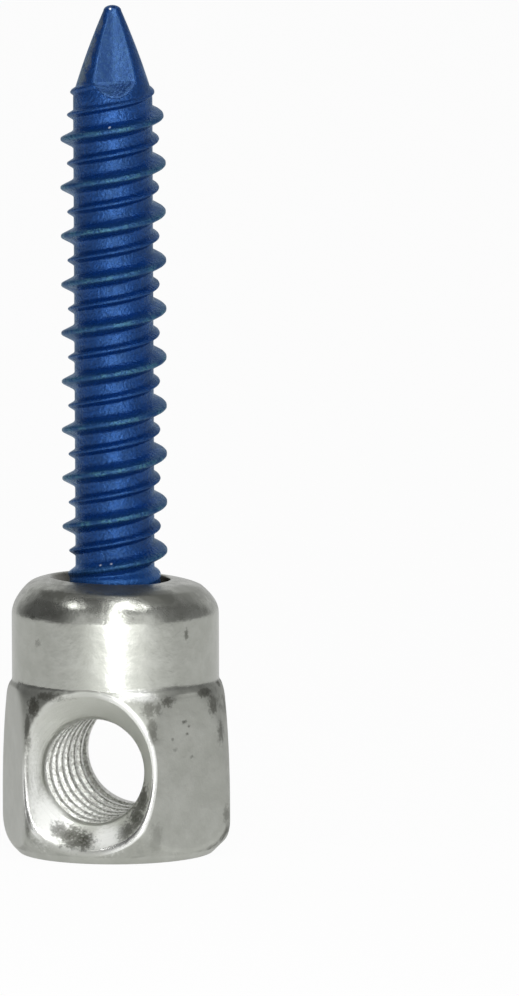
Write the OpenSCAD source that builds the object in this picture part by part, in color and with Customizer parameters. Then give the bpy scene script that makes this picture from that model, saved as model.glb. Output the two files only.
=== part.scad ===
// Threaded rod anchor. A double-lead concrete screw stands up out of a coupling
// head that is hexagonal below and round above. A rod screws into the tapped
// cross hole of the head, which is countersunk on both sides.
// Z is the axis of the screw, the head's flat base is at z = 0, and the cross
// hole runs along Y.

/* [Head] */
// Width of the hexagon across its flats
hex_across_flats = 16.3; // [13.5:0.1:17.5]
// Height of the hexagonal part above the base
hex_height = 13.4; // [12.5:0.1:17]
// Diameter over the hexagon's rounded corners where they stand out the most
corner_d = 18.25; // [16.8:0.05:20]
// Diameter of the flat base
base_d = 15; // [12:0.25:16]
// Radius that rounds the corners in above the base's chamfer
base_round = 2.56; // [1:0.02:4]
// Height at which the corners stand out the most
barrel_mid_z = 4; // [4:0.25:8]
// Radius of the lengthwise curve that draws the corners in towards the collar
barrel_round = 54; // [40:1:150]
// Height of the bevel that leads from the corners to the collar
collar_bevel = 0.7; // [0.2:0.1:1.5]
// Diameter of the round collar above the hexagon
collar_d = 16; // [14.4:0.1:17.6]
// Height of the whole head
head_height = 21.3; // [19:0.1:28]
// How far in the rounded shoulder at the top of the collar reaches
shoulder_reach = 2.3; // [1:0.1:3]
// How far down the rounded shoulder starts
shoulder_drop = 2.8; // [1:0.1:4]
// Share of that drop by which the shoulder's slope falls from the rim out to the collar
shoulder_slope = 0.45; // [0:0.05:0.9]

/* [Rod hole] */
// Height of the cross hole's axis above the base
rod_hole_height = 6.96; // [6.5:0.02:8]
// Inside diameter of the tapped hole, over the crests of its thread
rod_hole_d = 8; // [6.5:0.05:9.5]
// Depth of the rod thread, from its crests to its roots
rod_thread_depth = 0.76; // [0.5:0.02:1]
// Diameter of the countersink where it meets the flats
countersink_d = 12.4; // [10.5:0.1:13]
// Slope of the countersink, from the hole's axis
countersink_angle = 45; // [35:1:60]

/* [Screw seat] */
// Depth of the recess around the screw in the head's top
recess_depth = 1.1; // [0.4:0.1:2.5]
// Space around the screw's thread at the recess's floor
recess_gap = 0.3; // [0.15:0.05:0.8]
// Thickness of metal between the rod thread and the floor of the screw's socket
socket_web = 1.2; // [0.6:0.1:2.5]
// Space around the screw's shank in its socket
socket_clearance = 0.05; // [0.03:0.01:0.2]

/* [Screw] */
// Length of screw that stands out of the head, tip included
screw_length = 44.45; // [25:0.05:90]
// Diameter of the screw's core and of its shank
core_d = 6.1; // [5:0.05:6.8]
// Outer diameter of the tall thread
high_thread_d = 8.1; // [7.2:0.02:9]
// Outer diameter of the small thread that runs between the turns of the tall one
low_thread_d = 7.1; // [6.4:0.02:7.6]
// Rise of each thread in one turn
thread_lead = 3.75; // [3:0.05:6]
// Width of the tall thread at its root
high_root_width = 1.2; // [0.8:0.05:1.5]
// Width of the tall thread at its crest
high_crest_width = 0.26; // [0.1:0.02:0.6]
// Width of the small thread at its root
low_root_width = 0.8; // [0.4:0.05:1.2]
// Width of the small thread at its crest
low_crest_width = 0.16; // [0.06:0.02:0.3]
// Height of the threads' start above the recess's floor
thread_start_gap = 0.1; // [0.05:0.05:1]
// Length over which the threads rise to their height at the head
thread_run_in = 3.2; // [0.6:0.1:4]
// Length of the point that has no thread
thread_end_gap = 5.45; // [4:0.05:8]
// Length over which the threads die out at the point
thread_run_out = 4; // [2:0.25:8]
// Turn of the thread about the screw's axis, in degrees
thread_clock = -70; // [-180:5:180]

/* [Point] */
// Width of the blunt tip
tip_width = 1; // [0.6:0.05:1.6]
// Slope of the point's cone, from the axis
cone_angle = 20.2; // [16:0.2:30]
// Slope of the two facets pinched on the cone, from the axis
facet_angle = 14; // [12:0.5:16]
// Steeper slope in which each facet runs out on the core
facet_run_out_angle = 42; // [25:1:45]
// Length of the facets down from the tip to where they turn steeper
facet_length = 5.75; // [4:0.05:7]
// Turn of the point about the screw's axis, in degrees
point_clock = 15; // [-45:5:45]
// Height of the round on the blunt tip
tip_round = 0.3; // [0.1:0.05:0.4]

/* [Hidden] */
$fn = 96;

head_colour = [0.66, 0.67, 0.63];
screw_colour = [0.12, 0.25, 0.52];
past = 1;
arc_steps = 10;

hex_apothem = hex_across_flats / 2;
corner_r = corner_d / 2;
base_r = base_d / 2;
collar_r = collar_d / 2;
rim_r = collar_r - shoulder_reach;
rod_hole_r = rod_hole_d / 2;
rod_root_r = rod_hole_r + rod_thread_depth;
countersink_r = countersink_d / 2;

core_r = core_d / 2;
high_thread_r = high_thread_d / 2;
low_thread_r = low_thread_d / 2;
seat_z = head_height - recess_depth;
socket_r = core_r + socket_clearance;
socket_floor_z = rod_hole_height + rod_root_r + socket_web;
recess_floor_r = high_thread_r + recess_gap;
tip_z = head_height + screw_length;
tip_half = tip_width / 2;
tip_round_z = tip_z - tip_round;
thread_start_z = seat_z + thread_start_gap;
thread_end_z = tip_z - thread_end_gap;

// Points around the screw, and the chamfer on the end of its shank
columns = 48;
last_column = columns - 1;
shank_chamfer = 0.3;

// One turn of the threads: how far each edge lies above the middle of the tall
// thread, and how far it stands out of the core
thread_edges = [
    [-high_root_width / 2, 0],
    [-high_crest_width / 2, high_thread_r - core_r],
    [high_crest_width / 2, high_thread_r - core_r],
    [high_root_width / 2, 0],
    [(thread_lead - low_root_width) / 2, 0],
    [(thread_lead - low_crest_width) / 2, low_thread_r - core_r],
    [(thread_lead + low_crest_width) / 2, low_thread_r - core_r],
    [(thread_lead + low_root_width) / 2, 0]
];

// Points along an arc of a circle, from one angle to another
function arc_points(centre, radius, from, to) =
    [for (step = [0 : arc_steps])
        let (a = from + (to - from) * step / arc_steps)
        centre + radius * [cos(a), sin(a)]];

// Points along a curve that leaves its start and meets its end in line with a corner
function curve_points(start, corner, end) =
    [for (step = [0 : arc_steps])
        let (share = step / arc_steps, rest = 1 - share)
        rest * rest * start + 2 * rest * share * corner + share * share * end];

// Radius of the corners at a height, along their long curve
function barrel_r(z) =
    corner_r - barrel_round + sqrt(pow(barrel_round, 2) - pow(z - barrel_mid_z, 2));

function clamp01(x) = max(0, min(1, x));

// Half section of the head's turned form, from the base up
function head_section() =
    let (
        base_arc_z = corner_r - base_r + base_round * (sqrt(2) - 1),
        shoulder_corner_z = head_height - shoulder_drop * shoulder_slope,
        barrel_top_z = hex_height - collar_bevel,
        barrel_steps = [for (step = [1 : arc_steps])
            barrel_mid_z + (barrel_top_z - barrel_mid_z) * step / arc_steps]
    )
    concat(
        [[0, 0], [base_r, 0]],
        arc_points([corner_r - base_round, base_arc_z], base_round, -45, 0),
        [[corner_r, barrel_mid_z]],
        [for (z = barrel_steps) [barrel_r(z), z]],
        [[collar_r, hex_height]],
        curve_points(
            [collar_r, head_height - shoulder_drop],
            [collar_r, shoulder_corner_z],
            [rim_r, head_height]
        ),
        [[0, head_height]]
    );

// How far the point's cone and its pinched facets stand from the axis
function cone_reach(z) = tip_half + (tip_z - z) * tan(cone_angle);
function facet_reach(z) =
    let (turn_z = tip_z - facet_length)
    max(
        tip_half + (tip_z - z) * tan(facet_angle),
        tip_half + facet_length * tan(facet_angle) + (turn_z - z) * tan(facet_run_out_angle)
    );

// Radius of the bare screw at a height and an angle: the core, the cone or a facet
function bare_r(z, angle) =
    let (
        round_r = min(core_r, cone_reach(z)),
        across = round_r * abs(sin(angle - point_clock))
    )
    across > facet_reach(z) ? round_r * facet_reach(z) / across : round_r;

// Share of its full height that a thread has at a height on the screw
function thread_share(z) =
    min(
        clamp01((z - thread_start_z) / thread_run_in),
        clamp01((thread_end_z - z) / thread_run_out)
    );

function column_angle(column) = 360 * column / columns;
function column_rise(column) = thread_lead * column / columns;

// A flat ring of points around the screw, drawn in by a step
function flat_ring(z, step) =
    [for (column = [0 : columns - 1])
        let (a = column_angle(column), r = bare_r(z, a) - step)
        [r * cos(a), r * sin(a), z]];

// A ring that climbs one lead as it goes round, along an edge of the threads
function climbing_ring(z, height) =
    [for (column = [0 : columns - 1])
        let (
            a = column_angle(column),
            here = z + column_rise(column),
            r = bare_r(here, a) + height * thread_share(here)
        )
        [r * cos(a), r * sin(a), here]];

// Index of a point of the skin, by its row from the bottom and its column
function at(row, column) = row * columns + column;

// Panels between neighbouring columns, all but those that close the turn
function side_panels(first_row, last_row) =
    [for (row = [first_row : last_row - 1], column = [0 : last_column - 1])
        [at(row, column), at(row + 1, column), at(row + 1, column + 1), at(row, column + 1)]];

// Panels from the last column to the first one, where they end some rows higher
function closing_panels(first_row, last_row, higher) =
    [for (row = [first_row : last_row - 1])
        [
            at(row, last_column),
            at(row + 1, last_column),
            at(row + 1 + higher, 0),
            at(row + higher, 0)
        ]];

// Closes the step that the climb leaves above the last flat ring of the shank
function lower_step(flat_row, climb) =
    let (corner = at(flat_row, last_column), top_row = flat_row + 1 + climb)
    concat(
        [for (row = [flat_row : top_row - 1]) [corner, at(row + 1, 0), at(row, 0)]],
        [[corner, at(flat_row + 1, last_column), at(top_row, 0)]]
    );

// Closes the step that the climb leaves below the first flat ring of the tip
function upper_step(flat_row, climb) =
    let (corner = at(flat_row - 1, 0), low_row = flat_row - 1 - climb)
    concat(
        [for (row = [low_row : flat_row - 1])
            [corner, at(row, last_column), at(row + 1, last_column)]],
        [[corner, at(flat_row, last_column), at(flat_row, 0)]]
    );

// The whole screw as one skin: flat rings on the shank, rings that climb with the
// threads, and flat rings on the tip
module screw_skin() {
    shank_rings = [
        flat_ring(socket_floor_z, shank_chamfer),
        flat_ring(socket_floor_z + shank_chamfer, 0)
    ];
    tip_rings = [flat_ring(tip_round_z, 0), flat_ring(tip_z, tip_round)];

    // The tall thread's middle, one turn below where it leaves the head
    first_crest_z = seat_z + thread_lead * (thread_clock / 360 - 1);
    turns = ceil((tip_z - first_crest_z) / thread_lead);
    climbing_rings = [
        for (turn = [0 : turns], edge = thread_edges)
            let (z = first_crest_z + turn * thread_lead + edge[0], end_z = z + thread_lead)
            if (z > socket_floor_z + shank_chamfer && end_z > thread_start_z && end_z < tip_round_z)
                climbing_ring(z, edge[1])
    ];

    rings = concat(shank_rings, climbing_rings, tip_rings);
    points = [for (ring = rings, point = ring) point];
    last_row = len(rings) - 1;
    shank_row = len(shank_rings) - 1;
    tip_row = last_row + 1 - len(tip_rings);
    climb = len(thread_edges);

    polyhedron(
        points = points,
        faces = concat(
            [[for (column = [0 : last_column]) at(0, column)]],
            side_panels(0, last_row),
            closing_panels(0, shank_row, 0),
            lower_step(shank_row, climb),
            closing_panels(shank_row + 1, tip_row - 1 - climb, climb),
            upper_step(tip_row, climb),
            closing_panels(tip_row, last_row, 0),
            [[for (column = [last_column : -1 : 0]) at(last_row, column)]]
        ),
        convexity = 10
    );
}

// The head's turned form, cut to a hexagon below the collar
module head_blank() {
    intersection() {
        rotate_extrude() polygon(head_section());
        union() {
            cylinder(r = hex_apothem / cos(30), h = hex_height, $fn = 6);
            cylinder(r = collar_r, h = head_height);
        }
    }
}

// The tapped cross hole at its inside diameter, with a countersink at each flat
module rod_hole() {
    mouth_y = hex_apothem - (countersink_r - rod_hole_r) / tan(countersink_angle);
    outer_y = corner_r + past;
    outer_r = countersink_r + (outer_y - hex_apothem) * tan(countersink_angle);
    translate([0, 0, rod_hole_height]) {
        rotate([90, 0, 0]) cylinder(r = rod_hole_r, h = 2 * outer_y, center = true);
        for (side = [-90, 90])
            rotate([side, 0, 0])
                translate([0, 0, mouth_y])
                    cylinder(r1 = rod_hole_r, r2 = outer_r, h = outer_y - mouth_y);
    }
}

// The recess in the head's top and the blind socket that holds the shank
module screw_seat() {
    rotate_extrude()
        polygon([
            [0, socket_floor_z],
            [socket_r, socket_floor_z],
            [socket_r, seat_z],
            [recess_floor_r, seat_z],
            [rim_r, head_height],
            [rim_r, head_height + past],
            [0, head_height + past]
        ]);
}

module coupling_head() {
    color(head_colour)
        difference() {
            head_blank();
            rod_hole();
            screw_seat();
        }
}

module concrete_screw() {
    color(screw_colour) screw_skin();
}

coupling_head();
concrete_screw();
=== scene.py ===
"""Looks of the threaded rod anchor: a zinc-plated coupling head and its blue concrete screw.

Shapes are worked out in millimetres, on grids of two parameters, and put into the
meshes in metres. Both pieces stand where the frame's solids stand.
"""

import logging
import math
from dataclasses import dataclass, field
from enum import Enum

import bmesh
import bpy
import numpy as np
from mathutils import Matrix, Vector


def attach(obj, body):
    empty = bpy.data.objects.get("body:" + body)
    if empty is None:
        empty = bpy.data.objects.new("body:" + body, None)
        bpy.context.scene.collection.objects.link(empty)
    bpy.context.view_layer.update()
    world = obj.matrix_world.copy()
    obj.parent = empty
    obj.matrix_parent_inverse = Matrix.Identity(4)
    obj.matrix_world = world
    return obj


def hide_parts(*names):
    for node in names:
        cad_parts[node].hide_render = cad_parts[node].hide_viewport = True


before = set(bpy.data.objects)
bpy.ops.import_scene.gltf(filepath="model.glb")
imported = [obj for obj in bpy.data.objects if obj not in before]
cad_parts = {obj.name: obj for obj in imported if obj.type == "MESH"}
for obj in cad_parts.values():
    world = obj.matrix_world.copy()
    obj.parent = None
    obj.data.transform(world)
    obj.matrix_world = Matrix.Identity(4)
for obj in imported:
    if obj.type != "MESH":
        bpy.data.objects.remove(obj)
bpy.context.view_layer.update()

MM = 0.001
TURN = 2 * math.pi
WELD = 1e-7
SPOT_EDGE = (1.45, 0.45)

Triple = tuple[float, float, float]
Point = tuple[float, ...] | np.ndarray
Values = np.ndarray | float
Marks = dict[str, np.ndarray]
log = logging.getLogger("anchor")


def smooth_step(value: np.ndarray, low: float, high: float) -> np.ndarray:
    """Rise from 0 to 1 between two values, flat at both ends.

    Args:
        value: Numbers to judge.
        low: Value where the rise starts.
        high: Value where the rise ends.

    Returns:
        3 t^2 - 2 t^3, with t the clipped share of the way from low to high.
    """
    share = np.clip((value - low) / (high - low), 0, 1)
    return share * share * (3 - 2 * share)


def smooth_min(first: Values, second: Values, width: float) -> np.ndarray:
    """The lesser of two surfaces, with their meeting line rounded.

    Args:
        first: Values of one surface.
        second: Values of the other.
        width: Difference below which the two are blended.

    Returns:
        A mix of the two by their difference, less the rounding at the crossing.
    """
    share = np.clip(0.5 + 0.5 * (second - first) / width, 0, 1)
    return second * (1 - share) + first * share - width * share * (1 - share)


def smooth_max(first: Values, second: Values, width: float) -> np.ndarray:
    """The greater of two surfaces, with their meeting line filled."""
    return -smooth_min(-first, -second, width)


def waves(across: np.ndarray, along: np.ndarray, seed: int, count: int = 7) -> np.ndarray:
    """Soft unevenness that closes around a full turn.

    Args:
        across: Angle around the piece, in radians.
        along: Distance along the piece, in mm.
        seed: Choice of the waves.
        count: Number of waves that are summed.

    Returns:
        The mean of sines with whole turns around and mixed lengths along.
    """
    draw = np.random.default_rng(seed)
    total = np.zeros(np.broadcast(across, along).shape)
    for _ in range(count):
        turns = int(draw.integers(1, 6))
        pace = draw.uniform(0.4, 2.4)
        start = draw.uniform(0, TURN)
        total = total + np.sin(turns * across + pace * along + start)
    return total / count


def curve(share: np.ndarray, start: Point, handle: Point, end: Point) -> np.ndarray:
    """Points on a curve that leaves its start and reaches its end in line with a handle.

    Args:
        share: Shares of the way, from 0 at the start to 1 at the end.
        start: First point.
        handle: Point that both ends of the curve head for.
        end: Last point.

    Returns:
        (1 - t)^2 start + 2 t (1 - t) handle + t^2 end, with t the share.
    """
    ends = (1 - share) ** 2 * np.asarray(start) + share**2 * np.asarray(end)
    return ends + 2 * share * (1 - share) * np.asarray(handle)


def put(name: str, data: bpy.types.ID) -> bpy.types.Object:
    """Make an object and link it into the scene.

    Args:
        name: Name of the object.
        data: Its mesh, lamp or camera.

    Returns:
        The object.
    """
    made = bpy.data.objects.new(name, data)
    bpy.context.scene.collection.objects.link(made)
    return made


class Skin:
    """Grids of points that are joined into one closed mesh."""

    def __init__(self, mark_names: tuple[str, ...]) -> None:
        """Start an empty skin.

        Args:
            mark_names: Attributes that every grid gives for its points.
        """
        self.points: list[np.ndarray] = []
        self.faces: list[np.ndarray] = []
        self.marks: dict[str, list[np.ndarray]] = {name: [] for name in mark_names}
        self.count = 0

    def add(
        self,
        points: np.ndarray,
        marks: Marks,
        climb: int = 0,
        flip: bool = False,
        window: np.ndarray | bool = False,
    ) -> None:
        """Add a grid whose last column joins the first.

        Its faces look along its columns crossed with its rows.

        Args:
            points: Rows by columns by three coordinates, in mm.
            marks: Attribute values that fit the grid's shape. A missing one is 0.
            climb: Rows by which the grid rises in one turn.
            flip: Whether the faces are turned round.
            window: Which faces are left out, by row and column.
        """
        rows, columns = points.shape[:2]
        index = self.count + np.arange(rows * columns).reshape(rows, columns)
        first = np.concatenate([index[climb:, 0], np.full(climb, -1)])
        grid = np.column_stack([index, first])
        quads = np.stack([grid[:-1, :-1], grid[:-1, 1:], grid[1:, 1:], grid[1:, :-1]], -1)
        quads = quads[(quads.min(-1) >= 0) & ~np.asarray(window)]
        self.faces.append(quads[:, ::-1] if flip else quads)
        self.points.append(points.reshape(-1, 3))
        for name, kept in self.marks.items():
            kept.append(np.broadcast_to(marks.get(name, 0.0), (rows, columns)).ravel())
        self.count += rows * columns

    def build(self, name: str) -> bpy.types.Object:
        """Weld the grids into an object with smooth shading.

        Args:
            name: Name of the object and of its mesh.

        Returns:
            The object, linked into the scene.
        """
        mesh = bpy.data.meshes.new(name)
        points = np.concatenate(self.points) * MM
        mesh.from_pydata(points, [], np.concatenate(self.faces))
        for mark, kept in self.marks.items():
            layer = mesh.attributes.new(mark, "FLOAT", "POINT")
            layer.data.foreach_set("value", np.concatenate(kept).astype(np.float32))
        work = bmesh.new()
        work.from_mesh(mesh)
        bmesh.ops.remove_doubles(work, verts=work.verts, dist=WELD)
        open_edges = sum(1 for edge in work.edges if not edge.is_manifold)
        work.to_mesh(mesh)
        work.free()
        mesh.shade_smooth()
        triangles = sum(len(face.vertices) - 2 for face in mesh.polygons)
        log.info("%s: %d triangles, %d open edges", name, triangles, open_edges)
        return put(name, mesh)


def polar(radius: np.ndarray, angle: np.ndarray, height: np.ndarray) -> np.ndarray:
    """Points around the upright axis, from radius, angle and height."""
    return np.stack(np.broadcast_arrays(radius * np.cos(angle), radius * np.sin(angle), height), -1)


@dataclass
class CouplingHead:
    """The hexagonal head with its collar, tapped cross hole and screw seat, in mm."""

    across_flats: float = 16.3
    hex_height: float = 13.4
    corner_r: float = 9.125
    base_r: float = 7.5
    base_round: float = 2.56
    barrel_mid: float = 4.0
    barrel_round: float = 54.0
    bevel_start: float = 11.8
    bevel_handle: tuple[float, float] = (8.45, 12.93)
    collar_r: float = 8.0
    height: float = 21.3
    shoulder_z: float = 18.5
    shoulder_handle: tuple[float, float] = (8.0, 19.6)
    shoulder_end: tuple[float, float] = (6.75, 20.75)
    land_handle: tuple[float, float] = (6.35, 21.12)
    opening_r: float = 5.2
    seat_z: float = 20.2
    seat_r: float = 4.35
    socket_r: float = 3.1
    socket_floor: float = 12.92
    hole_z: float = 6.96
    crest_r: float = 4.0
    root_r: float = 4.55
    rod_pitch: float = 1.5875
    sink_r: float = 6.2
    sink_lift: float = 0.2
    edge_round: float = 0.3
    rim_round: float = 0.3
    mouth_round: float = 0.3
    crest_width: float = 0.42
    flank_angle: float = math.radians(30)
    fade: tuple[float, float] = (-0.5, 3.2)
    fade_power: float = 0.6
    thread_gap: float = 0.09
    rough_start: float = 0.6
    rough_corner: tuple[float, float] = (-0.05, 0.12)
    tilt: float = 0.15
    tilt_sink: float = 1 / 3
    tilt_side: float = math.radians(30)
    crimp: float = 1.1
    crimp_side: float = math.radians(-29)
    columns: int = 240
    window_half: int = 35
    window_low: float = 0.35
    window_high: float = 14.0
    section_step: float = 0.02
    smoothing: int = 13
    skin_rows: int = 15
    skin_bunching: float = 1.2
    lip_rows: int = 5
    cone_rows: int = 12
    section: np.ndarray = field(init=False)
    reach: np.ndarray = field(init=False)

    def __post_init__(self) -> None:
        """Work out the turned section and the distance along it."""
        self.section = self.turned_section()
        steps = np.hypot(*np.diff(self.section, axis=0).T)
        self.reach = np.concatenate([[0], np.cumsum(steps)])

    @property
    def mouth_y(self) -> float:
        """Distance from the axis at which the countersink meets the thread's crests."""
        return self.across_flats / 2 - (self.sink_r - self.crest_r)

    def turned_section(self) -> np.ndarray:
        """Half section from the middle of the base to the floor of the socket.

        An arc at the foot and the barrel's long one, curves over the bevel, the shoulder
        and the land, and straight lines. Every point is then the weighted mean of its
        neighbours within a tenth of a millimetre or so, which rounds each corner.

        Returns:
            Radius and height of closely set points.
        """
        turn = np.radians(np.linspace(-45, 0, 12))
        arc_z = self.corner_r - self.base_r + self.base_round * (math.sqrt(2) - 1)
        low = np.stack(
            [
                self.corner_r + self.base_round * (np.cos(turn) - 1),
                arc_z + self.base_round * np.sin(turn),
            ],
            -1,
        )
        z = np.linspace(self.barrel_mid, self.bevel_start, 30)
        sag = self.barrel_round - np.sqrt(self.barrel_round**2 - (z - self.barrel_mid) ** 2)
        barrel = np.stack([self.corner_r - sag, z], -1)
        opening = (self.opening_r, self.height)
        share = np.linspace(0, 1, 40)[1:, None]
        wall_low, wall_high = (self.collar_r, self.hex_height), (self.collar_r, self.shoulder_z)
        corners = np.concatenate(
            [
                [[0, 0], [self.base_r, 0]],
                low,
                barrel,
                curve(share, barrel[-1], self.bevel_handle, wall_low),
                curve(share, wall_high, self.shoulder_handle, self.shoulder_end),
                curve(share, self.shoulder_end, self.land_handle, opening),
                [[self.seat_r, self.seat_z], [self.socket_r, self.seat_z]],
                [[self.socket_r, self.socket_floor], [0, self.socket_floor]],
            ]
        )
        reach = np.concatenate([[0], np.cumsum(np.hypot(*np.diff(corners, axis=0).T))])
        dense = np.linspace(0, reach[-1], int(reach[-1] / self.section_step))
        line = np.stack([np.interp(dense, reach, corners[:, i]) for i in (0, 1)], -1)
        weights = np.hanning(self.smoothing)[1:-1]
        half = len(weights) // 2
        before = 2 * line[0] - line[half:0:-1]
        after = 2 * line[-1] - line[-2 : -half - 2 : -1]
        padded = np.concatenate([before, line, after])
        smooth = [np.convolve(padded[:, i], weights / weights.sum(), "valid") for i in (0, 1)]
        return np.stack(smooth, -1)

    def reach_at(self, radius: float, z: float) -> float:
        """Distance along the section to its point that lies nearest to the given one."""
        nearest = np.argmin(np.hypot(self.section[:, 0] - radius, self.section[:, 1] - z))
        return float(self.reach[nearest])

    def stations(self) -> tuple[np.ndarray, int, int]:
        """Distances along the section at which the rows lie.

        Each stop on the section comes with the number of rows that lead to it.

        Returns:
            The distances, and the rows where the hole's windows start and end.
        """
        base_rows, foot_rows, window_rows = 5, 5, 64
        stops = [
            (0.0, 0),
            (self.reach_at(self.base_r - 0.3, 0), base_rows),
            (self.reach_at(self.base_r + self.window_low, self.window_low), foot_rows),
            (self.reach_at(self.collar_r, self.window_high), window_rows),
            (self.reach_at(self.collar_r, self.shoulder_z), 12),
            (self.reach_at(*self.shoulder_end), 22),
            (self.reach_at(self.opening_r, self.height), 16),
            (self.reach_at(self.seat_r, self.seat_z), 10),
            (self.reach_at(self.socket_r, self.seat_z), 6),
            (self.reach_at(self.socket_r, self.socket_floor), 6),
            (float(self.reach[-1]), 3),
        ]
        rows = [np.zeros(1)]
        for (start, _), (end, count) in zip(stops, stops[1:]):
            rows.append(np.linspace(start, end, count + 1)[1:])
        low = base_rows + foot_rows
        return np.concatenate(rows), low, low + window_rows

    def surface(self, angle: np.ndarray, along: np.ndarray) -> tuple[np.ndarray, np.ndarray]:
        """The head's outer skin before the hole is cut.

        The radius is the lesser of the turned section and the hexagon, whose flats lie
        at half its width over the cosine of the angle from the nearest flat's middle.
        The rim leans by a cosine of the angle from one side, and another cosine of it
        crimps the land inwards.

        Args:
            angle: Angle around the axis, in radians.
            along: Distance along the section, in mm.

        Returns:
            The points, and the share of the rough corner between two flats.
        """
        turned = np.interp(along, self.reach, self.section[:, 0])
        z = np.interp(along, self.reach, self.section[:, 1])
        sixth = TURN / 6
        from_middle = np.mod(angle, sixth) - sixth / 2
        flat = self.across_flats / 2 / np.cos(from_middle)
        flat = flat + smooth_step(z, self.hex_height - 0.3, self.hex_height)
        outside = along < self.reach_at(self.collar_r, self.shoulder_z)
        in_hex = outside & (z < self.hex_height)
        radius = np.where(in_hex, smooth_min(turned, flat, self.edge_round), turned)
        rough = smooth_step(flat - turned, *self.rough_corner)
        corner = np.where(in_hex & (z > self.rough_start), rough, 0)
        ends = [(self.seat_r, self.seat_z), (self.opening_r, self.height), self.shoulder_end]
        low, opening, high = (self.reach_at(*end) for end in ends)
        on_land = np.interp(along, [high, opening, low], [0, 1, 0])
        radius = radius - self.crimp * on_land * (1 + np.cos(angle - self.crimp_side)) / 2
        near_rim = smooth_step(z, self.shoulder_z, self.height - 0.2) * (along < low)
        z = z - self.tilt * near_rim * (self.tilt_sink + np.cos(angle - self.tilt_side))
        return polar(radius, angle, z), corner

    def cone_radius(self, y: Values, around: np.ndarray) -> np.ndarray:
        """Distance of the countersink's cone from the hole's axis.

        The cone widens by as much as it comes forward, and its own axis lies a little
        above the hole's, as the drill that cut it did.

        Args:
            y: Distance from the screw's axis along the hole.
            around: Angle around the hole.

        Returns:
            The radius in that direction.
        """
        return self.crest_r + y - self.mouth_y + self.sink_lift * np.sin(around)

    def hole_patch(
        self, rows: np.ndarray, low: int, high: int
    ) -> tuple[np.ndarray, Marks, np.ndarray]:
        """The ring from the window's border over the countersink's rim to the thread.

        Each column runs straight, in angle and distance, from a border point towards
        the hole's middle, until its distance from the hole's axis is that of the cone.
        A curve with its handle on that rim leads round the edge, and straight lines go
        down the cone.

        Args:
            rows: Distances along the section of the grid's rows.
            low: Row of the window's lower border.
            high: Row of the window's upper border.

        Returns:
            The points, their marks, and the angle around the hole of each column.
        """
        step = TURN / self.columns
        side = np.arange(-self.window_half, self.window_half) * step
        upright = rows[low:high]
        half = self.window_half * step
        edge_angle = np.full(len(upright), half)
        angle = np.concatenate([side, edge_angle, -side, -edge_angle])
        along = np.concatenate(
            [
                np.full(len(side), rows[low]),
                upright,
                np.full(len(side), rows[high]),
                rows[high:low:-1],
            ]
        )
        middle = self.reach_at(self.corner_r, self.hole_z)

        def outer(share: np.ndarray) -> tuple[np.ndarray, np.ndarray]:
            """Skin at a share of the way from the hole's middle to the border."""
            return self.surface(angle * share - TURN / 4, middle + (along - middle) * share)

        def beyond(points: np.ndarray) -> np.ndarray:
            """How far points lie outside the cone of the countersink."""
            x, y, up = points[..., 0], points[..., 1], points[..., 2] - self.hole_z
            return np.hypot(x, up) - self.cone_radius(-y, np.arctan2(up, x))

        halvings, probe = 40, 0.01
        inner, far = np.full(len(angle), 0.3), np.ones(len(angle))
        for _ in range(halvings):
            share = (inner + far) / 2
            outside = beyond(outer(share)[0]) > 0
            inner, far = np.where(outside, inner, share), np.where(outside, share, far)
        rim = outer(share)[0]
        pace = np.linalg.norm(outer(share + probe)[0] - rim, axis=-1) / probe
        start = share + self.rim_round / pace

        ways = np.linspace(1, 0, self.skin_rows)[:, None] ** self.skin_bunching
        skin, corner = outer(start + (1 - start) * ways)
        around = np.unwrap(np.arctan2(rim[:, 2] - self.hole_z, rim[:, 0]))
        rim_r = np.hypot(rim[:, 0], rim[:, 2] - self.hole_z)

        def cone(radius: np.ndarray) -> np.ndarray:
            """Points on the countersink at a distance from the hole's axis."""
            y = -self.mouth_y - (radius - self.cone_radius(self.mouth_y, around))
            return np.stack([radius * np.cos(around), y, self.hole_z + radius * np.sin(around)], -1)

        lip_r = rim_r - self.rim_round * math.sqrt(0.5)
        over = np.linspace(0, 1, self.lip_rows + 1)[1:, None, None]
        lip = curve(over, skin[-1], rim, cone(lip_r))
        ways = np.linspace(0, 1, self.cone_rows + 1)[1:, None]
        sink = cone(lip_r + (self.thread_end_r - lip_r) * ways)
        points = np.concatenate([skin, lip, sink])
        cut_lip = np.linspace(0.2, 1, len(lip))
        cut = np.concatenate([np.zeros(len(skin)), cut_lip, np.ones(len(sink))])
        edge = np.zeros(len(points))
        edge[len(skin) - 1 : len(skin) + len(lip)] = 1
        corner_mark = np.concatenate([corner, np.zeros((len(lip) + len(sink), len(angle)))])
        marks = {"cut": cut[:, None], "edge": edge[:, None], "corner": corner_mark}
        return points, marks, around

    @property
    def thread_end_r(self) -> float:
        """Radius of the cone just outside the thread's roots, where the thread's grid ends."""
        return self.root_r + self.thread_gap

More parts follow.
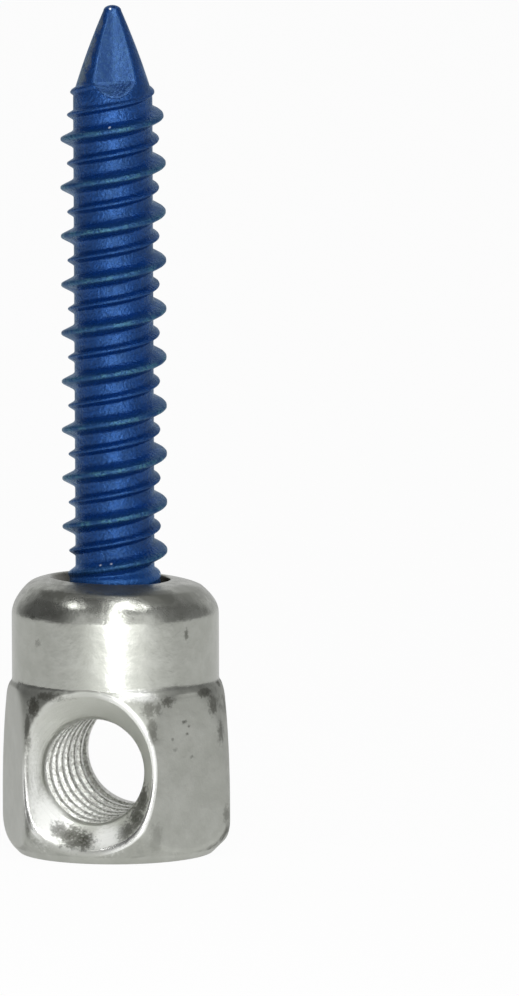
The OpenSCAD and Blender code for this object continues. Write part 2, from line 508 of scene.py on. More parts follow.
    def rod_thread(self, around: np.ndarray) -> tuple[np.ndarray, Marks, int]:
        """The tapped wall, on rows that climb with the thread.

        The radius goes from crest to root and back once a pitch along straight flanks,
        less deeply near the mouth, and is never less than that of the countersink's cone.

        Args:
            around: Angle around the hole of each column.

        Returns:
            The points, their marks and the number of rows in a turn.
        """
        depth = self.root_r - self.crest_r
        flank = depth * math.tan(self.flank_angle)
        crest = self.crest_width / 2
        near = 0.03
        steps = np.array([-near, near, flank / 3, flank * 2 / 3, flank - near, flank + near])
        half = np.concatenate([[0], crest + steps, [self.rod_pitch / 2]])
        offsets = np.concatenate([-half[-2:0:-1], half]) / self.rod_pitch
        end_y = self.mouth_y + self.thread_end_r - self.cone_radius(self.mouth_y, around)
        last = int(end_y.max() / self.rod_pitch) + 3
        turns = np.arange(-last, last)
        phase = (turns[:, None] + offsets).ravel()[:, None]
        y = np.clip(-self.rod_pitch * (phase + around / TURN), -end_y, end_y)
        from_crest = np.abs(phase - np.round(phase)) * self.rod_pitch
        rise = np.clip((from_crest - crest) / flank, 0, 1)
        rise = rise * smooth_step(self.mouth_y - np.abs(y), *self.fade) ** self.fade_power
        thread_r = self.crest_r + depth * smooth_step(rise, 0, 1)
        cone_r = self.cone_radius(np.abs(y), around)
        radius = smooth_max(thread_r, cone_r, self.mouth_round)
        x, z = radius * np.cos(around), self.hole_z + radius * np.sin(around)
        return np.stack([x, y, z], -1), {"cut": np.ones((1, 1))}, len(offsets)

    def build(self) -> bpy.types.Object:
        """Make the head's mesh.

        Returns:
            The head's object.
        """
        skin = Skin(("corner", "cut", "edge", "inside"))
        rows, low, high = self.stations()
        angle = np.arange(self.columns) * TURN / self.columns
        points, corner = self.surface(angle[None, :], rows[:, None])
        opening = self.reach_at(self.opening_r, self.height)
        # Marks the recess, where the zinc's material paints shade
        inside = smooth_step(rows, opening - 0.1, opening + 0.3)
        row, column = np.ogrid[: len(rows) - 1, : self.columns]
        from_middle = np.abs((column + 0.5) % (self.columns / 2) - self.columns / 4)
        window = (from_middle < self.window_half) & (row >= low) & (row < high)
        skin.add(points, {"corner": corner, "inside": inside[:, None]}, window=window)
        patch, marks, around = self.hole_patch(rows, low, high)
        skin.add(patch, marks)
        skin.add(patch * [1, -1, 1], marks, flip=True)
        wall, marks, per_turn = self.rod_thread(around)
        skin.add(wall, marks, climb=per_turn, flip=True)
        return skin.build("zinc_coupling_head")


@dataclass
class ConcreteScrew:
    """The blue screw with its tall and small threads and its pinched point, in mm."""

    shank_end: float = CouplingHead.socket_floor
    seat_z: float = CouplingHead.seat_z
    tip_z: float = 65.6
    core_r: float = 3.05
    skirt_r: float = 3.5
    skirt_start: tuple[float, float] = (20.2, 20.5)
    skirt_end: tuple[float, float] = (21.3, 23.5)
    lead: float = 3.75
    tall_height: float = 1.0
    tall_root: float = 1.26
    tall_crest: float = 0.3
    low_height: float = 0.5
    low_root: float = 0.74
    low_crest: float = 0.14
    start_turn: float = -70 / 360
    uneven: float = 0.035
    run_in: tuple[float, float] = (20.0, 23.4)
    run_in_power: float = 0.7
    low_run_in: float = 1.2
    run_out: tuple[float, float] = (56.0, 60.6)
    tip_half: float = 0.5
    cone_slope: float = math.tan(math.radians(20.2))
    cone_length: float = 7.0
    bulge: float = 0.13
    facet_slope: float = math.tan(math.radians(14))
    facet_end_slope: float = math.tan(math.radians(42))
    facet_length: float = 5.75
    facet_hollow: float = 0.15
    facet_soft: float = 0.25
    facet_edge: tuple[float, float] = (-0.03, 0.05)
    point_turn: float = math.radians(21)
    core_blend: float = 0.1
    facet_blend: float = 0.08
    edge_blend: float = 0.07
    dome: float = 0.45
    columns: int = 144

    def bare(self, z: np.ndarray, angle: np.ndarray) -> tuple[np.ndarray, np.ndarray]:
        """Radius of the screw without its threads.

        The core and the point's cone, whichever is less, cut by two facets. A facet is a
        shallow groove: its distance from the axis grows in proportion to the distance from
        its middle line, and over the sine less that share of the cosine it is a radius.

        Args:
            z: Height, in mm.
            angle: Angle around the axis, in radians.

        Returns:
            The radius, and how far a facet has cut into the round, from 0 to 1.
        """
        down = self.tip_z - z
        share = np.clip(down / self.cone_length, 0, 1)
        cone = self.tip_half + down * self.cone_slope + 4 * self.bulge * share * (1 - share)
        round_r = smooth_min(self.core_r, cone, self.core_blend)
        start = self.tip_half + down * self.facet_slope
        end = self.tip_half + self.facet_length * self.facet_slope
        end = end + (down - self.facet_length) * self.facet_end_slope
        past = angle - self.point_turn
        beside = np.hypot(np.cos(past), self.facet_soft) - self.facet_soft
        sine = np.abs(np.sin(past)) - self.facet_hollow * beside
        facet_r = smooth_max(start, end, self.facet_blend) / np.maximum(sine, 1e-3)
        facet = smooth_step(round_r - facet_r, *self.facet_edge)
        return smooth_min(round_r, facet_r, self.edge_blend), facet

    def ridge(self, away: np.ndarray, height: float, root: float, crest: float) -> np.ndarray:
        """Height of a thread over the core, by the distance along the axis from its middle.

        Args:
            away: Distance from the thread's middle, in mm.
            height: Full height of the thread.
            root: Width at the core.
            crest: Width at the crest.

        Returns:
            A straight flank with a rounded crest and a filled foot.
        """
        flank = height * (root - 2 * np.abs(away)) / (root - crest)
        return smooth_max(smooth_min(flank, height, height / 5), 0, height / 4)

    def winding(self, angle: np.ndarray) -> tuple[np.ndarray, np.ndarray, Marks, int]:
        """Heights and radii of the rows that climb with the threads.

        To the bare radius comes each thread's ridge, which grows by the share of its
        run-in, sinks by the share of its run-out and stops at the facets. Near the head
        a plain skirt covers what is lower.

        Args:
            angle: Angle around the axis of each column.

        Returns:
            Radius and height of the points, their marks and the rows in a turn.
        """
        half = self.lead / 2
        # Rows lie closer over the threads than between them
        tall = np.linspace(-0.75, 0.75, 17)
        low = half + np.linspace(-0.5, 0.5, 13)
        bare = np.linspace(tall[-1], low[0], 5)[1:-1]
        offsets = np.concatenate([tall, bare, low, bare + low[-1] - tall[-1]])
        low_z, high_z = self.seat_z - 0.3, self.tip_z - self.dome
        last = int((high_z - low_z) / self.lead) + 3
        row = (np.arange(-3, last)[:, None] * self.lead + offsets).ravel()[:, None]
        z = self.seat_z + row + self.lead * (self.start_turn + angle / TURN)
        z = np.clip(z, low_z, high_z)
        away = row - self.lead * np.round(row / self.lead)
        other = half - np.abs(away)
        uneven = self.uneven * waves(angle, z, 11)
        tall_share = smooth_step(z, *self.run_in) ** self.run_in_power
        low_share = smooth_step(z, low_z, low_z + self.low_run_in)
        ended = smooth_step(z, *self.run_out)
        tall_h = self.ridge(away, self.tall_height, self.tall_root, self.tall_crest)
        tall_h = np.maximum(tall_h - ended * self.tall_height, 0)
        low_h = self.ridge(other, self.low_height, self.low_root, self.low_crest)
        low_h = np.maximum(low_h - ended**2 * self.low_height, 0)
        radius, facet = self.bare(z, angle)
        stand = tall_h * tall_share * (1 + uneven) + low_h * low_share * (1 + 2 * uneven)
        stand = stand * (1 - facet)
        marks = {"crest": stand / self.tall_height, "facet": facet}
        in_skirt = smooth_step(z, *self.skirt_start) * (1 - smooth_step(z, *self.skirt_end))
        radius = smooth_max(radius + stand, self.skirt_r * in_skirt, self.core_blend)
        return radius, z, marks, len(offsets)

    def build(self) -> bpy.types.Object:
        """Make the screw's mesh: shank, threads and rounded tip.

        Returns:
            The screw's object.
        """
        skin = Skin(("crest", "facet"))
        angle = np.arange(self.columns) * TURN / self.columns
        radius, z, marks, per_turn = self.winding(angle)
        foot_r, _ = self.bare(z[:1], angle[None, :])
        heights = np.array([[self.shank_end], [self.shank_end], [self.shank_end + 0.3], [z[0, 0]]])
        shares = np.array([[0.0], [0.9], [1.0], [1.0]])
        skin.add(polar(foot_r * shares, angle, heights), {})
        skin.add(polar(radius, angle, z), marks, climb=per_turn)
        rise = np.radians(np.linspace(0, 90, 6))[:, None]
        top_r, top_facet = self.bare(z[-1:], angle[None, :])
        dome_z = z[-1:, :1] + self.dome * np.sin(rise)
        skin.add(polar(top_r * np.cos(rise), angle, dome_z), {"facet": top_facet})
        return skin.build("blue_concrete_screw")


@dataclass(frozen=True)
class Signal:
    """One output socket of a shader. Arithmetic on it adds Math nodes."""

    shader: "Shader"
    socket: bpy.types.NodeSocket

    def math(self, operation: str, *others: "Signal | float") -> "Signal":
        """Add a Math node whose first input is this signal.

        Args:
            operation: Name of the node's operation.
            others: Its further inputs, in order.

        Returns:
            The node's output.
        """
        return self.shader.node("Math", {"operation": operation}, dict(enumerate((self, *others))))

    def __add__(self, other: "Signal | float") -> "Signal":
        """Sum with a number or signal."""
        return self.math("ADD", other)

    __radd__ = __add__

    def __sub__(self, other: "Signal | float") -> "Signal":
        """Difference from a number or signal."""
        return self.math("SUBTRACT", other)

    def __rsub__(self, other: float) -> "Signal":
        """Difference of a number and this signal."""
        return (self * -1).math("ADD", other)

    def __mul__(self, other: "Signal | float") -> "Signal":
        """Product with a number or signal."""
        return self.math("MULTIPLY", other)

    def either(self, other: "Signal | float") -> "Signal":
        """The greater of this signal and another."""
        return self.math("MAXIMUM", other)

    def size(self) -> "Signal":
        """The signal without its sign."""
        return self.math("ABSOLUTE")

    def rise(self, low: float, high: float) -> "Signal":
        """Go from 0 to 1, flat at both ends, as the signal goes from one value to another.

        Args:
            low: Value that gives 0.
            high: Value that gives 1. It may be the lesser.

        Returns:
            The share, held between 0 and 1.
        """
        inputs = {"Value": self, "From Min": low, "From Max": high}
        return self.shader.node("MapRange", {"interpolation_type": "SMOOTHSTEP"}, inputs)


class Shader:
    """The nodes of one material or of the world."""

    def __init__(self, owner: bpy.types.Material | bpy.types.World) -> None:
        """Empty the tree of a material or a world.

        Args:
            owner: What the nodes are made for.
        """
        owner.use_nodes = True
        self.output = "OutputWorld" if isinstance(owner, bpy.types.World) else "OutputMaterial"
        self.tree = owner.node_tree
        self.tree.nodes.clear()

    def node(
        self,
        kind: str,
        settings: dict[str, object] | None = None,
        inputs: dict[str | int, object] | None = None,
        output: str | int = 0,
    ) -> Signal:
        """Add a node.

        Args:
            kind: The node's type, without its ShaderNode prefix.
            settings: Properties of the node, which are set first.
            inputs: Values or signals for its sockets, by name or place.
            output: Name or place of the output that is wanted.

        Returns:
            That output.
        """
        made = self.tree.nodes.new("ShaderNode" + kind)
        for name, value in (settings or {}).items():
            setattr(made, name, value)
        for name, value in (inputs or {}).items():
            if isinstance(value, Signal):
                self.tree.links.new(value.socket, made.inputs[name])
            else:
                made.inputs[name].default_value = value
        return Signal(self, made.outputs[output])

    def mark(self, name: str) -> Signal:
        """An attribute of the mesh's points."""
        return self.node("Attribute", {"attribute_name": name}, output="Fac")

    def place(self) -> Signal:
        """Object coordinates in millimetres."""
        coordinates = self.node("TexCoord", output="Object")
        return self.stretch(coordinates, (1 / MM,) * 3)

    def stretch(self, vector: Signal, factors: Triple) -> Signal:
        """A vector with each part multiplied by a number of its own."""
        return self.node("VectorMath", {"operation": "MULTIPLY"}, {0: vector, 1: factors})

    def axis(self, vector: Signal, name: str) -> Signal:
        """One part of a vector, by its letter."""
        return self.node("SeparateXYZ", inputs={0: vector}, output=name)

    def level(self, vector: Signal, ahead: Vector) -> tuple[Signal, Signal]:
        """Parts of a vector along a level direction and across it."""
        x, y = self.axis(vector, "X"), self.axis(vector, "Y")
        return x * ahead.x + y * ahead.y, x * ahead.y - y * ahead.x

    def away(self, vector: Signal, point: Triple) -> Signal:
        """Distance between a moving and a fixed point."""
        return self.node("VectorMath", {"operation": "DISTANCE"}, {0: vector, 1: point}, "Value")

    def noise(self, vector: Signal, scale: float, detail: float = 3, rough: float = 0.5) -> Signal:
        """Cloudy noise between 0 and 1.

        Args:
            vector: Where to read it, in mm.
            scale: Features in a millimetre.
            detail: Number of finer layers.
            rough: Strength of each finer layer over the last one.

        Returns:
            The noise.
        """
        inputs = {"Vector": vector, "Scale": scale, "Detail": detail, "Roughness": rough}
        return self.node("TexNoise", inputs=inputs)

    def blend(self, share: Signal | float, first: object, second: object) -> Signal:
        """Mix two colours.

        Args:
            share: Share of the second colour.
            first: Colour or signal.
            second: Colour or signal.

        Returns:
            The mixed colour.
        """
        sides = [(*side, 1.0) if isinstance(side, tuple) else side for side in (first, second)]
        return self.node("Mix", {"data_type": "RGBA"}, {0: share, 6: sides[0], 7: sides[1]}, 2)

    def bump(self, height: Signal, depth: float, under: Signal | None = None) -> Signal:
        """Turn heights into a normal.

        Args:
            height: Height between 0 and 1.
            depth: Depth in mm that a height of 1 stands for.
            under: Normal of a coarser relief that this one lies on.

        Returns:
            The normal.
        """
        inputs = {"Height": height, "Distance": depth * MM}
        if under:
            inputs["Normal"] = under
        return self.node("Bump", inputs=inputs)

    def close(self, surface: Signal) -> None:
        """Link a surface to the tree's output."""
        output = self.tree.nodes.new("ShaderNode" + self.output)
        self.tree.links.new(surface.socket, output.inputs["Surface"])


@dataclass(frozen=True)
class Spot:
    """A mark with soft edges on the surface: its middle and half sizes in mm, and its strength."""

    middle: Triple
    half: Triple
    strength: float = 1.0


def spotted(s: Shader, place: Signal, rag: Signal, spots: tuple[Spot, ...]) -> Signal:
    """How strongly a set of marks covers the surface.

    A mark's strength falls off with the distance from its middle, counted in half
    sizes. Noise is added to that distance, so that the edge is ragged.

    Args:
        s: The shader.
        place: Object coordinates in mm.
        rag: Noise around 0 for the edges, in half sizes.
        spots: The marks.

    Returns:
        The strongest mark at each point.
    """
    total = None
    for spot in spots:
        scale = tuple(1 / half for half in spot.half)
        middle = tuple(at / half for at, half in zip(spot.middle, spot.half))
        away = s.away(s.stretch(place, scale), middle) + rag
        mark = away.rise(*SPOT_EDGE) * spot.strength
        total = mark if total is None else mark.either(total)
    return total


@dataclass(frozen=True)
class ZincPlate:
    """Bright zinc over forged and turned steel, smudged where it wasn't polished.

    Its marks are the smudges of flats and collar, painted dark reflections in the countersink
    and on the land and shoulder, painted highlights by the countersink and on the bevel,
    painted shade in the recess, and the pits.
    """

    plate: Triple = (0.46, 0.47, 0.43)
    bright: Triple = (0.53, 0.54, 0.50)
    cut: Triple = (0.69, 0.7, 0.66)
    tapped: Triple = (0.88, 0.89, 0.85)
    # Near white of the painted highlights
    highlight_white: Triple = (0.95, 0.96, 0.93)
    speck: Triple = (0.42, 0.42, 0.39)
    # Dark colour of the smudges, the pits and the painted dark reflections
    smudge_and_shade: Triple = (0.085, 0.085, 0.07)
    # Painted shade of the recess around the screw
    recess_shade: Triple = (0.1, 0.095, 0.08)
    hole_z: float = CouplingHead.hole_z
    hex_middle: float = 7.0
    hex_top: float = CouplingHead.hex_height
    shoulder_z: float = 18.7
    thread_wall: tuple[float, float] = (6.2, 5.2)
    satin: float = 0.3
    cloud_scale: float = 0.55
    grain_scale: float = 4
    dent_depth: float = 0.05
    grain_depth: float = 0.012
    smudges: tuple[Spot, ...] = (
        Spot((-4.5, -7.3, 12.1), (0.6, 0.6, 0.9)),
        Spot((-3.2, -7.6, 12.95), (1.6, 0.6, 0.34), 0.85),
        Spot((-4.9, -7.25, 10.2), (0.26, 0.5, 1.6), 0.8),
        Spot((-5.06, -7.3, 6.5), (0.14, 0.6, 3.0), 0.55),
        Spot((-4.75, -7.7, 3.0), (0.32, 0.5, 1.1), 0.6),
        Spot((4.95, -6.98, 12.1), (0.6, 0.8, 0.65), 0.75),
        Spot((5.05, -7.1, 10.6), (0.28, 0.6, 1.2), 0.65),
        Spot((5.9, -5.9, 12.6), (0.55, 0.7, 0.4), 0.85),
        Spot((5.4, -6.6, 12.1), (0.3, 0.5, 0.6), 0.7),
        Spot((7.9, -2.4, 12.95), (0.6, 0.9, 0.32), 0.85),
        Spot((8.35, -1.6, 11.8), (0.3, 0.6, 0.85), 0.8),
        Spot((8.72, -0.9, 9.8), (0.28, 0.5, 1.0), 0.7),
        Spot((8.9, -0.3, 3.2), (0.3, 0.5, 0.7), 0.5),
        Spot((5.3, -7.05, 2.1), (0.5, 0.6, 1.1), 0.3),
        Spot((6.93, -4.0, 17.6), (0.15, 0.3, 0.45), 0.7),
        Spot((-4.15, -6.84, 16.9), (0.3, 0.4, 0.3), 0.35),
        Spot((-4.6, -6.4, 18.85), (0.25, 0.3, 0.2), 0.8),
        Spot((-3.4, -6.7, 19.9), (0.9, 0.6, 0.3), 0.4),
        Spot((6.6, -4.0, 19.4), (0.9, 0.9, 0.6), 0.35),
    )
    # Painted dark reflections in the lower countersink
    sink_dark_reflections: tuple[Spot, ...] = (
        Spot((-2.3, -7.2, 2.5), (0.65, 0.8, 0.65), 0.75),
        Spot((-1.5, -7.2, 2.1), (0.9, 0.9, 0.75), 0.85),
        Spot((-0.4, -7.3, 1.85), (0.9, 0.9, 0.8), 0.9),
        Spot((-1.1, -7.5, 1.55), (1.0, 0.8, 0.5), 0.85),
        Spot((4.2, -6.5, 4.9), (0.7, 1.2, 1.1), 0.85),
        Spot((3.8, -6.8, 3.7), (0.8, 1.2, 0.9), 0.85),
        Spot((3.1, -7.3, 2.7), (0.75, 0.9, 0.9), 0.8),
    )
    # Painted dark reflections on the land and shoulder, which also make them duller
    land_dark_reflections: tuple[Spot, ...] = (
        Spot((1.6, -5.3, 21.2), (4.6, 2.6, 0.75), 0.55),
        Spot((-3.0, -6.2, 20.6), (1.6, 1.2, 0.4), 0.6),
        Spot((5.2, -4.6, 20.5), (1.8, 1.8, 0.6), 0.5),
        Spot((6.4, -1.8, 20.5), (1.2, 2.4, 0.8), 0.3),
    )
    # Painted highlights in and beside the countersink and on the bevel above it
    painted_highlights: tuple[Spot, ...] = (
        Spot((1.6, -7.2, 1.95), (1.5, 1.2, 1.1)),
        Spot((-3.3, -7.0, 3.6), (1.5, 1.5, 2.1)),
        Spot((-4.4, -7.2, 6.5), (0.45, 0.8, 3.0), 0.8),
        Spot((3.9, -7.1, 13.1), (2.0, 0.9, 0.42)),
    )
    pits: tuple[Spot, ...] = (
        Spot((6.87, -4.4, 10.87), (0.2, 0.3, 0.18), 0.7),
        Spot((7.1, -4.0, 10.5), (0.12, 0.2, 0.12), 0.6),
        Spot((7.02, -4.13, 9.92), (0.14, 0.2, 0.12), 0.6),
        Spot((6.23, -5.51, 9.66), (0.14, 0.2, 0.14), 0.45),
        Spot((6.39, -5.24, 8.82), (0.2, 0.2, 0.16), 0.35),
        Spot((7.27, -3.7, 8.1), (0.16, 0.2, 0.12), 0.4),
        Spot((-4.73, -7.11, 11.91), (0.2, 0.3, 0.2), 0.9),
    )

    def material(self) -> bpy.types.Material:
        """Make the material.

        Returns:
            The material.
        """
        material = bpy.data.materials.new("zinc_plate")
        s = Shader(material)
        place = s.place()
        cut, corner, edge, inside = (s.mark(name) for name in ("cut", "corner", "edge", "inside"))
        x, y, z = (s.axis(place, name) for name in "XYZ")
        cloud = s.noise(place, self.cloud_scale, 4, 0.6)
        grain = s.noise(place, self.grain_scale, 4, 0.65)
        turned = z.rise(self.hex_top - 0.1, self.hex_top + 0.1)
        rag = (grain - 0.5) * 2.8 + (cloud - 0.5) * 1.6
        from_axis = (x * x + (z - self.hole_z) * (z - self.hole_z)).math("SQRT")
        wall = y.size().rise(*self.thread_wall) * cut
        pits = spotted(s, place, rag, self.pits)
        dirt_and_shade = self.dirt_and_shade(s, place, rag).either(pits) * (0.5 + grain)
        # Painted dark reflections on the land and shoulder
        land_dark_reflections = spotted(s, place, (grain - 0.5) * 1.5 + (cloud - 0.5) * 2, self.land_dark_reflections)

        clean = s.blend(cut, s.blend(cloud.rise(0.35, 0.7), self.plate, self.bright), self.cut)
        # Painted highlight: the countersink's lip is near white at its right and lower left
        lip_highlight = edge * x.rise(0.5, 3).either(x.rise(-3, -4.4) * z.rise(9, 5))
        painted_highlights = spotted(s, place, (grain - 0.5) * 1.5, self.painted_highlights).either(lip_highlight)
        clean = s.blend(wall, s.blend(painted_highlights, clean, self.highlight_white), self.tapped)
        clean = s.blend(wall * grain.rise(0.54, 0.42) * 0.7, clean, self.speck)
        # Smudges, pits and painted dark reflections darken the colour alike
        stains_and_shade = s.blend(dirt_and_shade.either(land_dark_reflections), clean, self.smudge_and_shade)

        across = s.node("CombineXYZ", inputs={0: from_axis, 1: y * 0.6})
        rings = s.noise(across, self.grain_scale, 2, 0.7)
        dents = s.bump(cloud, self.dent_depth)
        bare = grain * (0.5 - turned * 0.3) * (1 - cut)
        relief = bare + (rings * 2 + grain * (1 + wall * 4)) * cut - pits
        rough = self.satin + cloud * 0.1 - turned * 0.12 - painted_highlights * 0.1 + corner * 0.08
        # Painted highlights low in the countersink and at its left are white, not mirrors
        matte_highlight = painted_highlights * (1 - edge) * x.rise(-1, -2.5).either(z.rise(3.4, 2.8))
        # Painted shade darkens the recess around the screw
        inputs = {
            "Base Color": s.blend(inside * 0.7, stains_and_shade, self.recess_shade),
            "Metallic": 1 - matte_highlight * 0.8,
            "Roughness": rough + dirt_and_shade * 0.15 + land_dark_reflections * 0.4 + matte_highlight * 0.2,
            "Normal": s.bump(relief, self.grain_depth, under=dents),
        }
        s.close(s.node("BsdfPrincipled", inputs=inputs))
        return material

    def dirt_and_shade(self, s: Shader, place: Signal, rag: Signal) -> Signal:
        """Smudges of corners, flats and shoulder, and painted dark reflections in the countersink.

        The corners are darkest near the hexagon's ends and lighter on the front flat.

        Args:
            s: The shader.
            place: Object coordinates in mm.
            rag: Noise for the marks' edges.

        Returns:
            Share of the dark colour of smudges and painted reflections.
        """
        z = s.axis(place, "Z")
        front = s.axis(place, "Y").rise(-1.0, -3.5)
        ends = (z - self.hex_middle).size().rise(2.5, 6)
        blotch = s.noise(place, 0.9, 5, 0.65).rise(0.42, 0.62)
        corners = s.mark("corner") * ends * (0.2 + blotch * 0.7) * (1 - front * 0.75)
        shoulder = z.rise(self.shoulder_z, self.shoulder_z + 0.5) * blotch * 0.3
        # Painted dark reflections in the countersink
        placed = spotted(s, place, rag, self.smudges)
        sink_reflection = spotted(s, place, rag, self.sink_dark_reflections)
        return corners.either(placed * 0.9).either(sink_reflection).either(shoulder)


@dataclass(frozen=True)
class BlueCoat:
    """Thin semi-gloss blue coating over steel, dull on the crests, with painted glints at a few
    chips.
    """

    gloss: Triple = (0.45, 0.8, 1.0)
    deep: Triple = (0.004, 0.034, 0.16)
    mid: Triple = (0.005, 0.049, 0.24)
    crest: Triple = (0.045, 0.14, 0.22)
    flank: Triple = (0.007, 0.046, 0.15)
    facet: Triple = (0.011, 0.042, 0.18)
    # Painted reflection of the collar's land, near the foot
    foot: Triple = (0.02, 0.1, 0.36)
    patch: Triple = (0.035, 0.085, 0.15)
    # Painted highlight along the point's left edge
    edge_highlight_grey: Triple = (0.16, 0.2, 0.25)
    # Near white of the painted glints at chips
    glint_white: Triple = (0.85, 0.88, 0.92)
    foot_reflection_z: tuple[float, float] = (23.2, 21.9)
    metallic: float = 0.4
    specular: float = 0.8
    smooth: float = 0.1
    cloud_scale: float = 0.8
    grain_scale: float = 4.5
    cloud_depth: float = 0.07
    grain_depth: float = 0.09
    edge_highlights: tuple[Spot, ...] = (
        Spot((-0.75, -0.8, 64.0), (0.25, 0.4, 0.9), 0.6),
        Spot((-1.15, -1.1, 62.5), (0.33, 0.5, 0.8), 0.7),
        Spot((-1.5, -1.4, 61.3), (0.4, 0.7, 0.8), 0.8),
        Spot((-1.95, -1.55, 60.2), (0.5, 0.8, 0.8), 0.8),
    )
    chip_glints: tuple[Spot, ...] = (
        Spot((0.0, -0.5, 65.35), (0.08, 0.4, 0.08)),
        Spot((0.83, -3.57, 56.49), (0.09, 0.3, 0.07)),
        Spot((0.77, -3.6, 22.79), (0.1, 0.3, 0.06), 0.9),
        Spot((-0.1, -3.6, 22.66), (0.1, 0.3, 0.06), 0.9),
        Spot((3.5, 0.9, 21.55), (0.2, 0.3, 0.12), 0.9),
    )

    def material(self) -> bpy.types.Material:
        """Make the material.

        Returns:
            The material.
        """
        material = bpy.data.materials.new("blue_coat")
        s = Shader(material)
        place = s.place()
        cloud = s.noise(place, self.cloud_scale, 4, 0.6)
        grain = s.noise(place, self.grain_scale, 3, 0.55)
        rag = (grain - 0.5) * 2.4
        ridge = s.mark("crest")
        worn = ridge.rise(0.8, 1.0) * cloud.rise(0.4, 0.6) * grain.rise(0.35, 0.6)
        facet = (s.mark("facet") + rag * 0.3).rise(0.3, 0.7)
        coat = s.blend((cloud + grain - 0.5).rise(0.25, 0.75), self.deep, self.mid)
        # Painted reflection: the coat is lighter near the foot
        coat = s.blend(s.axis(place, "Z").rise(*self.foot_reflection_z) * 0.7, coat, self.foot)
        coat = s.blend(ridge.rise(0.3, 0.8) * (0.2 + cloud), coat, self.flank)
        flat = s.blend(grain.rise(0.4, 0.7) * 0.5, self.facet, self.patch)
        colour = s.blend(worn, s.blend(facet * 0.8, coat, flat), self.crest)
        # Painted highlight along the point's left edge
        colour = s.blend(spotted(s, place, rag, self.edge_highlights), colour, self.edge_highlight_grey)
        # Painted glints: near white flecks at a few chips in the coat
        chip_glints = spotted(s, place, (grain - 0.5) * 0.3, self.chip_glints)
        dull = cloud.rise(0.62, 0.38) * 0.14 + worn * 0.1
        waved = s.bump(cloud, self.cloud_depth)
        inputs = {
            "Base Color": s.blend(chip_glints, colour, self.glint_white),
            "Metallic": self.metallic,
            "Specular IOR Level": self.specular,
            "Specular Tint": (*self.gloss, 1),
            "Roughness": self.smooth + grain * 0.26 + dull,
            "Normal": s.bump(grain * (1 - facet * 0.75), self.grain_depth, under=waved),
        }
        s.close(s.node("BsdfPrincipled", inputs=inputs))
        return material


class Facing(Enum):
    """Where a lamp's face points."""

    DOWN = "down"
    SCREW = "to the screw"


@dataclass(frozen=True)
class Softbox:
    """A lamp with a soft rectangular face, by its place seen from the camera, in metres."""

    name: str
    right: float
    nearer: float
    rise: float
    width: float
    length: float
    strength: float
    facing: Facing = Facing.DOWN


@dataclass(frozen=True)
class Glow:
    """A soft patch of light or shade on the surroundings, in degrees from the camera's side."""

    turn: float
    lift: float
    half_turn: float
    half_lift: float
    level: float


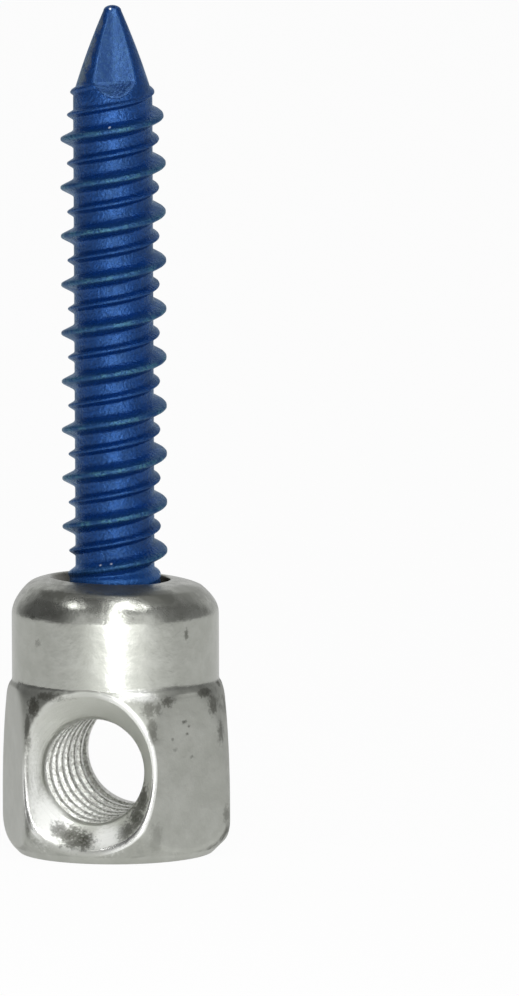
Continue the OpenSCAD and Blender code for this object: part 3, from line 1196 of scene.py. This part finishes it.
@dataclass
class Studio:
    """White floor, soft lamps and the camera at the photo's angle. Sizes are in metres.

    In mirrors the floor has a bright pool in front and a bright wedge beyond it.
    """

    turn: float = 16.4
    lift: float = 7.0
    roll: float = -0.206
    camera_distance: float = 1.0
    pixels_per_mm: float = 12.965
    frame_height: int = 996
    aim_right: float = 11.168
    aim_height: float = 27.418
    floor_size: float = 8.0
    floor_colour: Triple = (0.85, 0.85, 0.84)
    floor_seen: float = 0.96
    floor_mirrored: float = 0.5
    pool_turn: float = 5.0
    pool_away: float = 0.13
    pool_half: float = 0.15
    pool_level: float = 1.5
    wedge_turn: float = 1.0
    wedge_slope: tuple[float, float] = (0.825, 0.275)
    wedge_start: tuple[float, float] = (0.16, 0.224)
    wedge_level: float = 5.0
    surroundings: float = 0.25
    glows: tuple[Glow, ...] = (
        Glow(180, 5, 45, 45, 0.65),
        Glow(0, 90, 180, 35, 0.12),
        Glow(-95, 20, 35, 35, 0.12),
        Glow(27, 12, 24, 30, 0.95),
        Glow(-33, 12, 18, 30, 0.7),
    )
    boxes: tuple[Softbox, ...] = (
        Softbox("front_strip", 0.002, 0.115, 0.1, 0.028, 0.2, 4.5, Facing.SCREW),
        Softbox("top_box", 0.12, 0.205, 0.5, 0.24, 0.17, 4.5),
        Softbox("left_box", -0.34, 0.14, 0.5, 0.12, 0.13, 4.5),
    )

    def direction(self, turn: float, lift: float) -> Vector:
        """Unit vector from the object towards a turn and a lift.

        Args:
            turn: Degrees to the right of the camera's side.
            lift: Degrees above the floor.

        Returns:
            The vector, whose level part is the cosine of the lift.
        """
        across, up = math.radians(self.turn + turn), math.radians(lift)
        level = math.cos(up)
        return Vector((math.sin(across) * level, -math.cos(across) * level, math.sin(up)))

    def add_floor(self) -> None:
        """Lay a white floor that keeps the object's shadow.

        Camera rays see it plain white, and mirrored rays see its pool and wedge. The
        wedge is where the distance across, over that ahead, is under its slope.
        """
        half = self.floor_size / 2
        corners = [(-half, -half, 0), (half, -half, 0), (half, half, 0), (-half, half, 0)]
        mesh = bpy.data.meshes.new("floor")
        mesh.from_pydata(corners, [], [(0, 1, 2, 3)])
        material = bpy.data.materials.new("white_floor")
        s = Shader(material)
        white = s.node("BsdfDiffuse", inputs={"Color": (*self.floor_colour, 1)})
        seen = s.node("LightPath", output="Is Camera Ray")
        mirrored = s.node("LightPath", output="Is Glossy Ray")
        place = s.node("TexCoord", output="Object")
        pool = s.away(place, tuple(self.direction(self.pool_turn, 0) * self.pool_away))
        front, across = s.level(place, self.direction(self.wedge_turn, 0))
        slope = across.math("DIVIDE", front).size()
        wedge = slope.rise(*self.wedge_slope) * front.rise(*self.wedge_start)
        level = pool.rise(self.pool_half, 0) * self.pool_level + wedge * self.wedge_level
        level = level * mirrored + 1
        glow = s.node("Emission", inputs={"Color": (1, 1, 1, 1), "Strength": level})
        share = (seen * self.floor_seen).either(mirrored * self.floor_mirrored)
        s.close(s.node("MixShader", inputs={0: share, 1: white, 2: glow}))
        mesh.materials.append(material)
        put("floor", mesh)

    def add_world(self) -> None:
        """Light from all round with a few soft patches; plain white to the camera.

        A patch's share falls off with the turn and the lift away from its middle, and it
        draws the level so far towards its own.
        """
        soft_turn, soft_lift = (1.4, 0.6), (1.3, 0.7)
        world = bpy.data.worlds.new("studio")
        bpy.context.scene.world = world
        s = Shader(world)
        way = s.node("TexCoord", output="Generated")
        lift = s.axis(way, "Z").math("ARCSINE") * math.degrees(1)
        level = self.surroundings
        for patch in self.glows:
            along, across = s.level(way, self.direction(patch.turn, 0))
            away = across.math("ARCTAN2", along).size() * math.degrees(1)
            near = away.rise(*(patch.half_turn * part for part in soft_turn))
            beside = (lift - patch.lift).size()
            near = near * beside.rise(*(patch.half_lift * part for part in soft_lift))
            level = near * (patch.level - level) + level
        seen = s.node("LightPath", output="Is Camera Ray")
        s.close(s.node("Background", inputs={"Color": level.either(seen)}))

    def add_lamps(self) -> None:
        """Put up the softboxes."""
        for box in self.boxes:
            lamp = bpy.data.lights.new(box.name, "AREA")
            lamp.shape = "RECTANGLE"
            lamp.size, lamp.size_y = box.width, box.length
            lamp.energy = box.strength * math.pi * box.width * box.length
            holder = put(box.name, lamp)
            place = self.direction(90, 0) * box.right + self.direction(0, 0) * box.nearer
            holder.location = place + Vector((0, 0, box.rise))
            if box.facing is Facing.SCREW:
                holder.rotation_euler = (-place).to_track_quat("-Z", "Y").to_euler()
            else:
                holder.rotation_euler.z = math.radians(self.turn)
            holder.visible_camera = False

    def add_camera(self) -> None:
        """Set the camera so that a millimetre of the object takes the photo's pixels."""
        data = bpy.data.cameras.new("camera")
        data.lens = self.pixels_per_mm / MM * self.camera_distance
        data.lens *= data.sensor_width / self.frame_height
        data.clip_end = 20
        camera = put("camera", data)
        away = self.direction(0, self.lift)
        right = self.direction(90, 0)
        aim = right * self.aim_right * MM + Vector((0, 0, self.aim_height * MM))
        camera.location = aim + away * self.camera_distance
        facing = (-away).to_track_quat("-Z", "Y").to_matrix()
        tilt = Matrix.Rotation(math.radians(self.roll), 3, "Z")
        camera.rotation_euler = (facing @ tilt).to_euler()
        bpy.context.scene.camera = camera

    def build(self) -> None:
        """Set up everything around the object."""
        bpy.context.scene.view_settings.view_transform = "Standard"
        self.add_floor()
        self.add_world()
        self.add_lamps()
        self.add_camera()


def dress(piece: bpy.types.Object, material: bpy.types.Material, node: str) -> None:
    """Give a piece its finish and its place in the frame.

    Args:
        piece: The new piece.
        material: Its material.
        node: Name of the solid that it stands for.
    """
    piece.data.materials.append(material)
    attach(piece, "root")
    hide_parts(node)
    log.info("%s stands for %s", piece.name, node)


def main() -> None:
    """Build the pieces, dress them and set up the studio."""
    logging.basicConfig(level=logging.INFO, format="%(message)s")
    dress(CouplingHead().build(), ZincPlate().material(), "coupling_head")
    dress(ConcreteScrew().build(), BlueCoat().material(), "concrete_screw")
    Studio().build()


if __name__ == "__main__":
    main()
